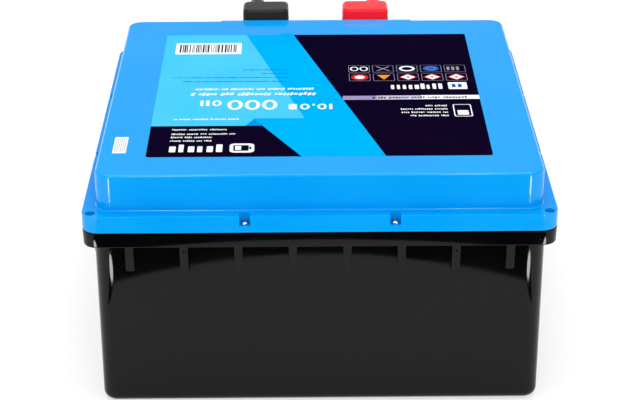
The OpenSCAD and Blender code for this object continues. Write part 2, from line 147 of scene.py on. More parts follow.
def mouldedPlastic(name, look):
    # injection moulded: mirror smooth from a polished tool, with the slow ripple of shrinkage, a faint grain
    # and a few hair scratches from handling
    material, tree, shader, place = startMaterial(name)
    drift = noise(tree, place, look["patchMm"], 3)
    colour = tinted(tree, between(tree, drift, 0, 1), fromHex(look["colour"]), fromHex(look["colourOther"]))
    shader.inputs["IOR"].default_value = look["ior"]
    shader.inputs["Specular IOR Level"].default_value = look["specular"]
    stretched = addNode(tree, "ShaderNodeMapping", {
        "Vector": place, "Scale": (1, 0.06, 1), "Rotation": (0, 0, 0.5)})
    hair = noise(tree, stretched.outputs[0], look["scratchMm"], 1)
    scratch = between(tree, hair, 0, look["scratch"], 0.68, 0.74)
    dull = addNode(tree, "ShaderNodeMath", {0: between(tree, drift, *look["rough"]), 1: scratch},
                   operation="ADD")
    ripple = bumped(tree, noise(tree, place, look["rippleMm"], 1), look["rippleHighMm"])
    grain = bumped(tree, noise(tree, place, look["grainMm"], 2), look["grainHighMm"], ripple)
    tree.links.new(colour, shader.inputs["Base Color"])
    tree.links.new(dull.outputs[0], shader.inputs["Roughness"])
    tree.links.new(grain, shader.inputs["Normal"])
    return material


glossBlack = mouldedPlastic("blackGlossAbs", {   # ABS from a polished tool: near-mirror, deep black
    "colour": "#040405", "colourOther": "#060608", "ior": 1.46, "specular": 0.24, "rough": (0.035, 0.07),
    "patchMm": 45, "rippleMm": 90, "rippleHighMm": 0.14, "grainMm": 0.8, "grainHighMm": 0.0004,
    "scratchMm": 1.6, "scratch": 0.06,
})
glossBlue = mouldedPlastic("blueGlossAbs", {     # pigmented ABS: saturated blue under a clear-looking shine
    "colour": "#0099ea", "colourOther": "#009dee", "ior": 1.46, "specular": 0.28, "rough": (0.07, 0.12),
    "patchMm": 60, "rippleMm": 120, "rippleHighMm": 0.02, "grainMm": 0.8, "grainHighMm": 0.0005,
    "scratchMm": 1.6, "scratch": 0.05,
})
softRed = mouldedPlastic("redSoftVinyl", {       # dip-moulded soft vinyl: satin, slightly uneven
    "colour": "#fb1b2a", "colourOther": "#ff2232", "ior": 1.5, "specular": 0.12, "rough": (0.26, 0.36),
    "patchMm": 14, "rippleMm": 22, "rippleHighMm": 0.3, "grainMm": 0.6, "grainHighMm": 0.004,
    "scratchMm": 2.0, "scratch": 0.1,
})
redShader = softRed.node_tree.nodes["Principled BSDF"]
redShader.inputs["Subsurface Weight"].default_value = 0.3     # light soaks into it
redShader.inputs["Subsurface Scale"].default_value = 4 * mm
# painted light: a faint red glow in the cover's own surface brightens its front, which the lid shades, as if
# it were lit from the front
redShader.inputs["Emission Color"].default_value = fromHex("#ff2834")
redShader.inputs["Emission Strength"].default_value = 0.14
softBlack = mouldedPlastic("blackSoftVinyl", {
    "colour": "#2a2725", "colourOther": "#2f2c2a", "ior": 1.5, "specular": 0.08, "rough": (0.28, 0.38),
    "patchMm": 14, "rippleMm": 22, "rippleHighMm": 0.3, "grainMm": 0.6, "grainHighMm": 0.004,
    "scratchMm": 2.0, "scratch": 0.1,
})


def workedMetal(name, look):
    # plated, machined or drawn metal: fine lines one way from the tool, blotches of handling and oxide
    material, tree, shader, place = startMaterial(name)
    lines = addNode(tree, "ShaderNodeMapping", {"Vector": place, "Scale": look["stretch"]})
    brush = noise(tree, lines.outputs[0], look["lineMm"], 4, 0.65)
    blotch = noise(tree, place, look["patchMm"], 4)
    colour = tinted(tree, between(tree, blotch, 0, 1), fromHex(look["colour"]), fromHex(look["colourOther"]))
    shader.inputs["Metallic"].default_value = 1
    both = addNode(tree, "ShaderNodeMath", {0: brush, 1: blotch}, operation="MULTIPLY")
    tree.links.new(colour, shader.inputs["Base Color"])
    tree.links.new(between(tree, both.outputs[0], *look["rough"], 0.1, 0.45), shader.inputs["Roughness"])
    tree.links.new(bumped(tree, brush, look["highMm"]), shader.inputs["Normal"])
    return material


zincSteel = workedMetal("zincPlatedSteel", {     # bright zinc: cool, soft mirror
    "colour": "#c9ccd1", "colourOther": "#aeb2b8", "stretch": (1, 1, 0.2), "lineMm": 0.5, "patchMm": 3,
    "rough": (0.18, 0.34), "highMm": 0.002,
})
bareSteel = workedMetal("rolledSteel", {
    "colour": "#b4b6b8", "colourOther": "#94969a", "stretch": (0.05, 1, 1), "lineMm": 0.4, "patchMm": 6,
    "rough": (0.25, 0.42), "highMm": 0.002,
})
turnedBrass = workedMetal("turnedBrass", {       # machined brass with the rings of the lathe
    "colour": "#d8ae57", "colourOther": "#bd9140", "stretch": (0.2, 0.2, 1), "lineMm": 0.35, "patchMm": 5,
    "rough": (0.2, 0.36), "highMm": 0.003,
})
bareCopper = workedMetal("rolledCopper", {
    "colour": "#c9764c", "colourOther": "#a85a36", "stretch": (1, 0.05, 1), "lineMm": 0.4, "patchMm": 8,
    "rough": (0.24, 0.42), "highMm": 0.002,
})
millAluminium = workedMetal("millAluminium", {   # rolled sheet as it leaves the mill
    "colour": "#cfd2d5", "colourOther": "#b3b6ba", "stretch": (0.05, 1, 1), "lineMm": 0.6, "patchMm": 20,
    "rough": (0.28, 0.45), "highMm": 0.003,
})


def dullStuff(name, look):
    # foam, rubber, card, sheath or resin: a matt body colour with cells or fibres
    material, tree, shader, place = startMaterial(name)
    cells = addNode(tree, "ShaderNodeTexVoronoi", {
        "Vector": place, "Scale": 1 / (look["cellMm"] * mm)}).outputs[0]
    cloud = noise(tree, place, look["patchMm"], 4)
    mixed = addNode(tree, "ShaderNodeMath", {0: cells, 1: cloud}, operation="MULTIPLY").outputs[0]
    share = between(tree, mixed, 0, 1, 0.1, 0.5)
    colour = tinted(tree, share, fromHex(look["colour"]), fromHex(look["colourOther"]))
    shader.inputs["Specular IOR Level"].default_value = look["specular"]
    tree.links.new(colour, shader.inputs["Base Color"])
    tree.links.new(between(tree, cloud, *look["rough"]), shader.inputs["Roughness"])
    tree.links.new(bumped(tree, mixed, look["highMm"]), shader.inputs["Normal"])
    return material


sealRubber = dullStuff("epdmRubber", {
    "colour": "#1a1a1b", "colourOther": "#222223", "cellMm": 0.5,
    "patchMm": 8, "specular": 0.4, "rough": (0.55, 0.7), "highMm": 0.02,
})
padFoam = dullStuff("closedCellFoam", {
    "colour": "#1d1d1f", "colourOther": "#2f2f32", "cellMm": 1.2,
    "patchMm": 15, "specular": 0.2, "rough": (0.8, 0.95), "highMm": 0.15,
})
fishPaper = dullStuff("insulatingCard", {
    "colour": "#c9bd92", "colourOther": "#b3a67a", "cellMm": 0.8,
    "patchMm": 12, "specular": 0.3, "rough": (0.6, 0.8), "highMm": 0.03,
})
cellWrap = dullStuff("printedPvcSleeve", {
    "colour": "#1f5a9c", "colourOther": "#2465ab", "cellMm": 14,
    "patchMm": 40, "specular": 0.5, "rough": (0.2, 0.34), "highMm": 0.08,
})
redSheath = dullStuff("redCableSheath", {
    "colour": "#b01519", "colourOther": "#c2201f", "cellMm": 2,
    "patchMm": 12, "specular": 0.45, "rough": (0.38, 0.5), "highMm": 0.02,
})
blackSheath = dullStuff("blackCableSheath", {
    "colour": "#121213", "colourOther": "#1c1c1e", "cellMm": 2,
    "patchMm": 12, "specular": 0.45, "rough": (0.38, 0.5), "highMm": 0.02,
})
naturalNylon = dullStuff("naturalNylon", {
    "colour": "#e6e2d6", "colourOther": "#d6d0c0", "cellMm": 1.5,
    "patchMm": 6, "specular": 0.5, "rough": (0.3, 0.45), "highMm": 0.01,
})
blackResin = dullStuff("filledEpoxy", {
    "colour": "#151516", "colourOther": "#212123", "cellMm": 0.4,
    "patchMm": 5, "specular": 0.4, "rough": (0.45, 0.6), "highMm": 0.01,
})


def circuitBoard(name, mask, copper):
    # glass-epoxy under solder mask: darker gaps between the copper tracks that run beneath it
    material, tree, shader, place = startMaterial(name)
    tracks = addNode(tree, "ShaderNodeTexBrick", {
        "Vector": place, "Color1": fromHex(mask), "Color2": fromHex(copper), "Mortar": fromHex("#04160c"),
        "Scale": 1 / (6 * mm), "Mortar Size": 0.06, "Bias": -0.3, "Brick Width": 1.7, "Row Height": 0.5})
    cloud = noise(tree, place, 5, 3)
    tree.links.new(tracks.outputs["Color"], shader.inputs["Base Color"])
    tree.links.new(between(tree, cloud, 0.2, 0.32), shader.inputs["Roughness"])
    tree.links.new(bumped(tree, tracks.outputs["Fac"], 0.05), shader.inputs["Normal"])
    return material


greenBoard = circuitBoard("greenSolderMask", "#0b5a2c", "#127a3d")
blueBoard = circuitBoard("blueSolderMask", "#12357c", "#1b4a9f")


def printedFilm(name, colour, other):
    # solvent ink under a clear laminate: even colour with the faint mottle of the print
    material, tree, shader, place = startMaterial(name)
    mottle = noise(tree, place, 1.1, 3)
    wash = noise(tree, place, 45, 2)
    both = addNode(tree, "ShaderNodeMath", {
        0: between(tree, wash, 0, 0.75), 1: between(tree, mottle, 0, 0.25)}, operation="ADD").outputs[0]
    shader.inputs["Specular IOR Level"].default_value = 0.0
    tree.links.new(tinted(tree, both, fromHex(colour), fromHex(other)), shader.inputs["Base Color"])
    tree.links.new(between(tree, wash, 0.3, 0.4), shader.inputs["Roughness"])
    tree.links.new(bumped(tree, wash, 0.03), shader.inputs["Normal"])
    return material


inks = {
    "cyan": printedFilm("cyanLabelFilm", "#40b9e9", "#4cbeec"),
    "azure": printedFilm("azureLabelFilm", "#00a1f2", "#00a7f6"),
    "deep": printedFilm("deepAzureLabelFilm", "#008ad8", "#0090de"),
    "navy": printedFilm("navyLabelFilm", "#0a041e", "#0f0620"),
    "white": printedFilm("whiteInk", "#e6eaee", "#eef0f2"),
    "black": printedFilm("blackInk", "#16161a", "#22222a"),
    "text": printedFilm("textBlueInk", "#12527e", "#1a5f90"),
    "lilac": printedFilm("lilacInk", "#8f89ae", "#9a94b8"),
    "paleLilac": printedFilm("paleLilacInk", "#bab6cc", "#c6c2d4"),
    "red": printedFilm("redInk", "#c4202c", "#d02a36"),
    "orange": printedFilm("orangeInk", "#ee8a1a", "#f59425"),
    "royal": printedFilm("royalBlueInk", "#1c4fa8", "#2459b4"),
    "grey": printedFilm("greyInk", "#8a8794", "#9a97a4"),
}
print("materials ready")

# shaping tools


def bevel(bm, geom, radius, steps=3, affect="EDGES"):
    return bmesh.ops.bevel(bm, geom=geom, offset=radius, offset_type="OFFSET", segments=steps, profile=0.5,
                           affect=affect, material=-1)["verts"]


def turned(bm, verts, degrees, axis="Z"):
    bmesh.ops.rotate(bm, verts=verts, matrix=Matrix.Rotation(math.radians(degrees), 3, axis))


def thicken(bm, faces, high):   # gives a flat print or film its thickness
    made = bmesh.ops.extrude_face_region(bm, geom=faces)["geom"]
    top = [v for v in made if isinstance(v, bmesh.types.BMVert)]
    bmesh.ops.translate(bm, verts=top, vec=(0, 0, high))


def roundLoop(bm, wide, long, radius, z, middle=(0, 0), steps=8):   # one level of a lofted wall
    before = set(bm.edges)
    corners = bmesh.ops.create_circle(bm, segments=4, radius=math.sqrt(0.5), cap_ends=True)["verts"]
    turned(bm, corners, 45)
    bmesh.ops.scale(bm, verts=corners, vec=(wide, long, 1))
    bmesh.ops.translate(bm, verts=corners, vec=(middle[0], middle[1], z))
    bevel(bm, corners, max(radius, 0.2), steps, "VERTICES")
    loop = [e for e in bm.edges if e not in before]
    faces = list({f for e in loop for f in e.link_faces})
    bmesh.ops.delete(bm, geom=faces, context="FACES_ONLY")
    return loop


def loft(bm, levels, middle=(0, 0), steps=8):
    # each level is (z, width, depth, corner radius), and both ends are closed
    loops = [roundLoop(bm, w, d, r, z, middle, steps) for z, w, d, r in levels]
    for below, above in zip(loops, loops[1:]):
        bmesh.ops.bridge_loops(bm, edges=below + above)
    for end in (loops[0], loops[-1]):
        bmesh.ops.edgeloop_fill(bm, edges=end)
    bmesh.ops.recalc_face_normals(bm, faces=bm.faces[:])


def block(bm, low, high, edge=0.0, steps=3):   # a box with all its edges rounded
    made = bmesh.ops.create_cube(bm, size=1)["verts"]
    size = Vector(high) - Vector(low)
    bmesh.ops.scale(bm, verts=made, vec=size)
    bmesh.ops.translate(bm, verts=made, vec=(Vector(low) + Vector(high)) / 2)
    if edge:
        bevel(bm, list({e for v in made for e in v.link_edges}), edge, steps)


def rod(bm, radius, start, stop, along="Z", sides=48, edge=0.0):   # a round bar between two points
    length = (Vector(stop) - Vector(start)).length
    made = bmesh.ops.create_cone(bm, segments=sides, radius1=radius, radius2=radius, depth=length,
                                 cap_ends=True)["verts"]
    if edge:
        edges = {e for v in made for e in v.link_edges}
        rims = [e for e in edges if abs(e.verts[0].co.z - e.verts[1].co.z) < 0.001]
        rounded = set(bevel(bm, rims, edge))
        made = list(rounded | {v for v in made if v.is_valid})
    if along == "Y":
        turned(bm, made, -90, "X")
    bmesh.ops.translate(bm, verts=made, vec=(Vector(start) + Vector(stop)) / 2)


def addMesh(bm, part):
    joined = bpy.data.meshes.new("part")
    part.to_mesh(joined)
    part.free()
    bm.from_mesh(joined)
    bpy.data.meshes.remove(joined)


def asObject(name, bm):
    mesh = bpy.data.meshes.new(name)
    bm.to_mesh(mesh)
    bm.free()
    piece = bpy.data.objects.new(name, mesh)
    scene.collection.objects.link(piece)
    return piece


def combine(piece, other, how):   # joins another body to a piece, or cuts it away
    cut = piece.modifiers.new("cut", "BOOLEAN")
    cut.operation = how
    cut.solver = "EXACT"
    cut.use_self = True
    cut.object = other
    bpy.context.view_layer.update()
    mesh = bpy.data.meshes.new_from_object(piece.evaluated_get(bpy.context.evaluated_depsgraph_get()))
    piece.modifiers.remove(cut)
    bm = bmesh.new()
    bm.from_mesh(mesh)
    bmesh.ops.remove_doubles(bm, verts=bm.verts[:], dist=0.004)
    bmesh.ops.dissolve_degenerate(bm, edges=bm.edges[:], dist=0.004)
    bm.to_mesh(mesh)
    bm.free()
    piece.data = mesh
    bpy.data.objects.remove(other)


def finishPiece(piece, materials, body, replaces=(), weigh=True):
    mesh = piece.data
    mesh.transform(Matrix.Scale(mm, 4))
    for material in materials:
        mesh.materials.append(material)
    mesh.shade_smooth()
    mesh.set_sharp_from_angle(angle=math.radians(sharpFrom))
    if weigh:            # flat faces keep a flat shine right up to their rounded edges
        even = piece.modifiers.new("even", "WEIGHTED_NORMAL")
        even.keep_sharp = True
        even.weight = 80
    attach(piece, body)
    if replaces:
        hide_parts(*replaces)
    print("made", piece.name, len(mesh.polygons), "faces")


def quarter(steps):      # angles of a rounded edge
    return [math.radians(90 * i / steps) for i in range(steps + 1)]


# tub

tub = {
    "wallIn": 7.6,        # walls stand in from the rim, a little more at the foot for draft
    "footIn": 8.6,
    "corner": 11,
    "topCorner": 15,      # the walls' own corners open out under the rim
    "footEdge": 7,
    "rimHigh": 12.5,
    "wall": 3.5,
    "rimDraft": 0.42,      # the rim band leans in towards its lower edge
    "gussetPitch": 40.9,
    "gussetWide": 6.4,
    "gussetProud": 4.2,
    "gussetHigh": 22.5,
    "gussetFoot": 1.1,     # what still stands proud at the lower end
    "gussetEdge": 0.9,
    "lineFoot": 14,        # height where the mould lines end
    "lineHalf": 0.4,       # half a mould line's width
    "lineDeep": 1.1,
    "pin": 0.8,            # radius of the pin mark on a gusset
    "sealIn": (8.4, 10.4),
    "sealDeep": 1.6,
    "screwIn": 4.05,       # from the outer edge, as is the next
    "cornerScrewIn": 6.8,
    "sideScrewY": 62.5,
    "screwRadius": 1.55,
}
rimLow = rimTop - tub["rimHigh"]
frontBackScrews = [(x, side * (depth / 2 - tub["screwIn"]))
                   for x, side in ((56, -1), (-56, -1), (118, 1), (-118, 1))]
sideScrews = [(s * (width / 2 - tub["screwIn"]), t * tub["sideScrewY"]) for s in (-1, 1) for t in (-1, 1)]
cornerScrews = [(s * (width / 2 - tub["cornerScrewIn"]), t * (depth / 2 - tub["cornerScrewIn"]))
                for s in (-1, 1) for t in (-1, 1)]


def level(z, inset, radius):     # one level of tub or lid, set in from their outer edge
    return (z, width - 2 * inset, depth - 2 * inset, radius)


def wallFace(turn):       # how far the wall stands from the middle after that many quarter turns
    return (depth if turn % 2 == 0 else width) / 2 - tub["wallIn"]


def gussetRow(bm):        # stiffeners under the rim, all round
    half = tub["gussetWide"] / 2
    for i in range(8):
        x = (i - 3.5) * tub["gussetPitch"]
        for turn in range(4):
            face = -wallFace(turn)
            part = bmesh.new()
            block(part, (x - half, face - tub["gussetProud"], rimLow - tub["gussetHigh"]),
                  (x + half, face + 1.5, rimLow + 0.6))
            low = [v for v in part.verts if v.co.z < rimLow - 1 and v.co.y < face - 1]
            bmesh.ops.translate(part, verts=low, vec=(0, tub["gussetProud"] - tub["gussetFoot"], 0))
            outer = [e for e in part.edges if min(v.co.y for v in e.verts) < face - 0.5]
            bevel(part, outer, tub["gussetEdge"])
            turned(part, part.verts[:], 90 * turn)
            addMesh(bm, part)


def mouldLines(bm):       # fine grooves that run down from two gussets on each side, and their pin marks
    thin, pinZ = tub["lineHalf"], rimLow - 5.5
    for turn in range(4):
        face = -wallFace(turn)
        part = bmesh.new()
        for side in (-1, 1):
            x = side * 2.5 * tub["gussetPitch"]
            beside = x - side * (tub["gussetWide"] / 2 + 0.5)
            block(part, (beside - thin, face - 1, tub["lineFoot"]),
                  (beside + thin, face + tub["lineDeep"], rimLow - 5))
            rod(part, tub["pin"], (x, face - 6, pinZ), (x, face - 2, pinZ), "Y", 16)
        turned(part, part.verts[:], 90 * turn)
        addMesh(bm, part)


def screwShafts(bm, low, high):
    for x, y in frontBackScrews + sideScrews + cornerScrews:
        rod(bm, tub["screwRadius"], (x, y, low), (x, y, high), sides=24)


def makeTub():
    t = tub
    inner = t["wallIn"] + t["wall"]
    levels = [level(t["footEdge"] * (1 - math.sin(a)), t["footIn"] + t["footEdge"] * (1 - math.cos(a)),
                    t["corner"] - t["footEdge"] * (1 - math.cos(a))) for a in reversed(quarter(6))]
    levels += [level(rimLow - 1.5, t["wallIn"], t["topCorner"]),
               level(rimLow - 0.6, t["wallIn"] - 0.25, t["topCorner"]),
               level(rimLow, t["wallIn"] - 1.2, t["topCorner"]),
               level(rimLow, 1.5, t["corner"] - 0.8),
               level(rimLow + 0.3, 0.8, t["corner"] - 0.4),
               level(rimLow + 1.0, t["rimDraft"], t["corner"]),
               level(rimTop - 0.5, 0.02, t["corner"]),
               level(rimTop - 0.12, 0.2, t["corner"] - 0.1),
               level(rimTop, 0.6, t["corner"] - 0.3),
               level(rimTop, t["sealIn"][0], 9),
               level(rimTop - t["sealDeep"], t["sealIn"][0], 9),
               level(rimTop - t["sealDeep"], t["sealIn"][1], 7),
               level(rimTop, t["sealIn"][1], 7),
               level(rimTop, inner, t["corner"] - t["wall"]),
               level(t["wall"], inner, t["corner"] - t["wall"])]
    bm = bmesh.new()
    loft(bm, levels)
    piece = asObject("tub", bm)
    ribs = bmesh.new()
    gussetRow(ribs)
    combine(piece, asObject("gussets", ribs), "UNION")
    shafts = bmesh.new()
    screwShafts(shafts, rimTop - 6.7, rimTop + 2)
    mouldLines(shafts)
    combine(piece, asObject("shafts", shafts), "DIFFERENCE")
    finishPiece(piece, [glossBlack], "battery", ["case"])


makeTub()

# lid

lid = {
    "flangeHigh": 13.6,
    "crownIn": 10.2,
    "crownCorner": 12,
    "crownEdge": 2.0,
    "crownFoot": 1.2,     # radius where the crown rises from the flange
    "skin": 3,
    "crownReach": 2.2,    # the crown stands this much nearer to the back edge than to the front one
    "rearFrom": 60,       # y from which the crown's levels are moved back for it
    "corner": 12.5,
    "shelfWide": 173,
    "shelfTop": 20.6,     # above the rim, as is notchFloor
    "blockProud": 4.8,    # the block's back stands this far behind the crown's
    "postHole": 7.05,     # radii, as are notch and cornerHole
    "notch": 4.05,        # open half of the pocket of each edge screw
    "notchFloor": 5.3,
    "cornerHole": 3.75,
}
flangeTop = rimTop + lid["flangeHigh"]
shelfTop = rimTop + lid["shelfTop"]
notchFloor = rimTop + lid["notchFloor"]
crownBack = depth / 2 - lid["crownIn"]
blockBack = crownBack + lid["blockProud"]
shelfBack = lidHigh.y
postX = 45.2              # the terminals stand this far left and right of the middle
postY = 190


def makeLid():
    t = lid
    crown, foot, edge = t["crownIn"], t["crownFoot"], t["crownEdge"]
    inner = crown + t["skin"]
    levels = [level(lidTop - t["skin"], inner, t["crownCorner"] - t["skin"]),
              level(rimTop, inner, t["crownCorner"] - t["skin"]),
              level(rimTop, 0.5, t["corner"] - 0.3),
              level(rimTop + 0.12, 0.15, t["corner"] - 0.1),
              level(rimTop + 0.5, 0.0, t["corner"]),
              level(flangeTop - 1.1, 0.0, t["corner"]),
              level(flangeTop - 0.42, 0.15, t["corner"] - 0.1),
              level(flangeTop - 0.1, 0.5, t["corner"] - 0.3),
              level(flangeTop, 1.1, t["corner"] - 0.6)]
    levels += [level(flangeTop + foot * (1 - math.cos(a)), crown - foot * (1 - math.sin(a)),
                     t["crownCorner"] + foot * (1 - math.sin(a))) for a in quarter(5)]
    levels += [level(lidTop - edge * (1 - math.sin(a)), crown + edge * (1 - math.cos(a)),
                     t["crownCorner"] - edge * (1 - math.cos(a))) for a in quarter(5)]
    bm = bmesh.new()
    loft(bm, levels, steps=10)
    rear = [v for v in bm.verts if v.co.z > flangeTop + 0.2 and v.co.y > t["rearFrom"]]
    bmesh.ops.translate(bm, verts=rear, vec=(0, t["crownReach"], 0))
    piece = asObject("lidShell", bm)
    half = t["shelfWide"] / 2
    back = bmesh.new()
    block(back, (-half, crownBack - 2.6, rimTop + 1), (half, blockBack, lidTop - 0.02), 1.8, 4)
    combine(piece, asObject("backBlock", back), "UNION")
    shelf = bmesh.new()
    block(shelf, (-half + 0.01, crownBack - 2, rimTop + 0.02), (half - 0.01, shelfBack, shelfTop), 1.6, 4)
    combine(piece, asObject("shelf", shelf), "UNION")
    cuts = bmesh.new()
    skin = t["skin"]
    block(cuts, (-half + skin, crownBack - 6, rimTop + skin), (half - skin, shelfBack - skin, shelfTop - 4))
    for side in (-1, 1):
        rod(cuts, t["postHole"], (side * postX, postY, rimTop + 5), (side * postX, postY, shelfTop + 5))
    combine(piece, asObject("channel", cuts), "DIFFERENCE")
    pockets = bmesh.new()
    for x, y in frontBackScrews + sideScrews:
        rod(pockets, t["notch"], (x, y, notchFloor), (x, y, flangeTop + 3.2), sides=40)
    for x, y in cornerScrews:
        rod(pockets, t["cornerHole"], (x, y, rimTop + 4), (x, y, flangeTop + 3), sides=40)
    combine(piece, asObject("pockets", pockets), "DIFFERENCE")
    mouths = bmesh.new()
    wide = t["notch"]
    reach = wide + 1
    for x, y in frontBackScrews:
        out = y + math.copysign(reach, y)
        block(mouths, (x - wide, min(y, out), notchFloor), (x + wide, max(y, out), flangeTop + 2))
    for x, y in sideScrews:
        out = x + math.copysign(reach, x)
        block(mouths, (min(x, out), y - wide, notchFloor), (max(x, out), y + wide, flangeTop + 2))
    combine(piece, asObject("mouths", mouths), "DIFFERENCE")
    shafts = bmesh.new()
    screwShafts(shafts, rimTop - 1, notchFloor + 1)
    combine(piece, asObject("lidShafts", shafts), "DIFFERENCE")
    finishPiece(piece, [glossBlue], "battery", ["lid"])


makeLid()

# terminal covers

cover = {
    "wide": 42, "long": 28, "corner": 5.5, "edge": 2.9, "wall": 2,
    "draft": 0.5,           # each side leans in towards the top
    "outletOut": 8, "outletR": 7, "outletBore": 5,
}


def makeCover(name, node, side, material):
    low, high = boxOf(node)
    t = cover
    middle = (side * postX, postY)
    top, foot = high.z, low.z
    w, d, r, e = t["wide"], t["long"], t["corner"], t["edge"]
    levels = [(top - t["wall"], w - 2 * t["wall"], d - 2 * t["wall"], r - t["wall"]),
              (foot, w - 2 * t["wall"], d - 2 * t["wall"], r - t["wall"]),
              (foot, w - 0.8, d - 0.8, r - 0.2),
              (foot + 0.4, w, d, r)]
    w, d = w - 2 * t["draft"], d - 2 * t["draft"]
    levels += [(top - e * (1 - math.sin(a)), w - 2 * e * (1 - math.cos(a)), d - 2 * e * (1 - math.cos(a)),
                r - e * (1 - math.cos(a))) for a in quarter(6)]
    bm = bmesh.new()
    loft(bm, levels, middle)
    piece = asObject(name, bm)
    x, z = side * (postX + t["outletOut"]), top - t["outletR"] - 0.2
    spout = bmesh.new()
    rod(spout, t["outletR"], (x, postY + d / 2 - 1.5, z), (x, high.y, z), "Y", 48, 0.7)
    combine(piece, asObject("spout", spout), "UNION")
    bore = bmesh.new()
    rod(bore, t["outletBore"], (x, postY, z), (x, high.y + 5, z), "Y", 48)
    combine(piece, asObject("bore", bore), "DIFFERENCE")
    finishPiece(piece, [material], node, [node])


makeCover("redCover", "positive_cover", 1, softRed)
makeCover("blackCover", "negative_cover", -1, softBlack)

# label: one film cut into its printed fields, with the ink marks on top

label = {
    "thick": 0.05,
    "corner": 2.5,
    "lean": -0.2605,          # how far the two long diagonals move in x for each mm in y
    "cyanTop": -61.5,         # x of the cyan field's edge at the far side
    "navyTop": -20.0,
    "footTop": -75.3,         # y of the dark foot's far edge
    "footEnd": -44.0,
    "footLean": -0.5,
    "tipY": -60.2,            # near end of the cyan field's point
    "stepX": -50.4,           # where the point's edge turns back to the foot
    "stepLean": 0.47,
    "wedgeLean": -0.44,
    "inkThick": 0.03,
}
farEdge = labelHigh.y
inkLow = labelLow.z + label["thick"] + 0.01   # top of the film


def diagonal(x, y, lean):     # x of a slanted line through (x, y), as a function of y
    return lambda at: x + (at - y) * lean


cyanEdge = diagonal(label["cyanTop"], farEdge, label["lean"])
navyEdge = diagonal(label["navyTop"], farEdge, label["lean"])
footEdge = diagonal(label["footEnd"], label["footTop"], label["footLean"])
stepEdge = diagonal(label["stepX"], label["tipY"], label["stepLean"])
wedgeEdge = diagonal(label["stepX"], label["tipY"], label["wedgeLean"])


def fieldAt(x, y):
    if x > navyEdge(y):
        return "navy"
    if y < label["footTop"] and x < footEdge(y):
        return "navy"
    if x < cyanEdge(y) and (y > label["tipY"] or (y > label["footTop"] and x < stepEdge(y))):
        return "cyan"
    if label["footTop"] < y < label["tipY"] and stepEdge(y) < x < wedgeEdge(y):
        return "deep"
    return "azure"


def makeLabel():
    bm = bmesh.new()
    size = labelHigh - labelLow
    middle = (labelHigh + labelLow) / 2
    loop = roundLoop(bm, size.x, size.y, label["corner"], inkLow, (middle.x, middle.y))
    bmesh.ops.edgeloop_fill(bm, edges=loop)
    lines = [(cyanEdge, None), (navyEdge, None), (footEdge, None), (stepEdge, None), (wedgeEdge, None),
             (None, label["footTop"]), (None, label["tipY"])]
    for edge, y in lines:
        point = Vector((0, y, 0)) if edge is None else Vector((edge(0), 0, 0))
        normal = Vector((0, 1, 0)) if edge is None else Vector((1, edge(0) - edge(1), 0)).normalized()
        everything = bm.verts[:] + bm.edges[:] + bm.faces[:]
        bmesh.ops.bisect_plane(bm, geom=everything, plane_co=point, plane_no=normal)
    fields = ["cyan", "azure", "deep", "navy"]
    for face in bm.faces:
        spot = face.calc_center_median()
        face.material_index = fields.index(fieldAt(spot.x, spot.y))
    thicken(bm, bm.faces[:], -label["thick"])
    bmesh.ops.recalc_face_normals(bm, faces=bm.faces[:])
    finishPiece(asObject("topLabel", bm), [inks[f] for f in fields], "battery", ["top_label"],
                weigh=False)


makeLabel()

# the marks, in millimetres on the label; lift stacks one mark on another
inkNames = ["white", "black", "text", "lilac", "paleLilac", "red", "orange", "royal", "grey", "navy",
            "azure"]
printBm = bmesh.new()
words = random.Random(12)


def ink(faces, name):
    for face in faces:
        face.material_index = inkNames.index(name)


def mark(x0, x1, y0, y1, name, slant=0.0, lift=0.0, radius=0.0):   # one solid printed patch
    before = set(printBm.faces)
    corner = min(radius, (x1 - x0) / 2.2, (y1 - y0) / 2.2) or 0.05
    middle = ((x0 + x1) / 2, (y0 + y1) / 2)
    loop = roundLoop(printBm, x1 - x0, y1 - y0, corner, inkLow + lift, middle, 4 if radius else 1)
    thicken(printBm, bmesh.ops.edgeloop_fill(printBm, edges=loop)["faces"], label["inkThick"])
    made = [f for f in printBm.faces if f not in before]
    if slant:
        for v in {v for f in made for v in f.verts}:
            v.co.x += slant * (v.co.y - (y0 + y1) / 2)
    ink(made, name)


def ring(x, y, outX, outY, line, name, steps=24, lift=0.0):   # a printed ring
    before = set(printBm.faces)
    inner = bmesh.ops.create_circle(printBm, segments=steps, radius=1, cap_ends=False)
    outer = bmesh.ops.create_circle(printBm, segments=steps, radius=1, cap_ends=False)
    bmesh.ops.scale(printBm, verts=inner["verts"], vec=(outX - line, outY - line, 1))
    bmesh.ops.scale(printBm, verts=outer["verts"], vec=(outX, outY, 1))
    edges = list({e for v in inner["verts"] + outer["verts"] for e in v.link_edges})
    thicken(printBm, bmesh.ops.bridge_loops(printBm, edges=edges)["faces"], label["inkThick"])
    made = [f for f in printBm.faces if f not in before]
    verts = list({v for f in made for v in f.verts})
    bmesh.ops.translate(printBm, verts=verts, vec=(x, y, inkLow + lift))
    ink(made, name)


def shape(x, y, reachX, reachY, sides, name, lift=0.0, turn=0.0):   # a printed diamond, triangle or disc
    before = set(printBm.faces)
    made = bmesh.ops.create_circle(printBm, segments=sides, radius=1, cap_ends=True)["verts"]
    turned(printBm, made, turn)
    bmesh.ops.scale(printBm, verts=made, vec=(reachX, reachY, 1))
    bmesh.ops.translate(printBm, verts=made, vec=(x, y, inkLow + lift))
    thicken(printBm, [f for f in printBm.faces if f not in before], label["inkThick"])
    ink([f for f in printBm.faces if f not in before], name)


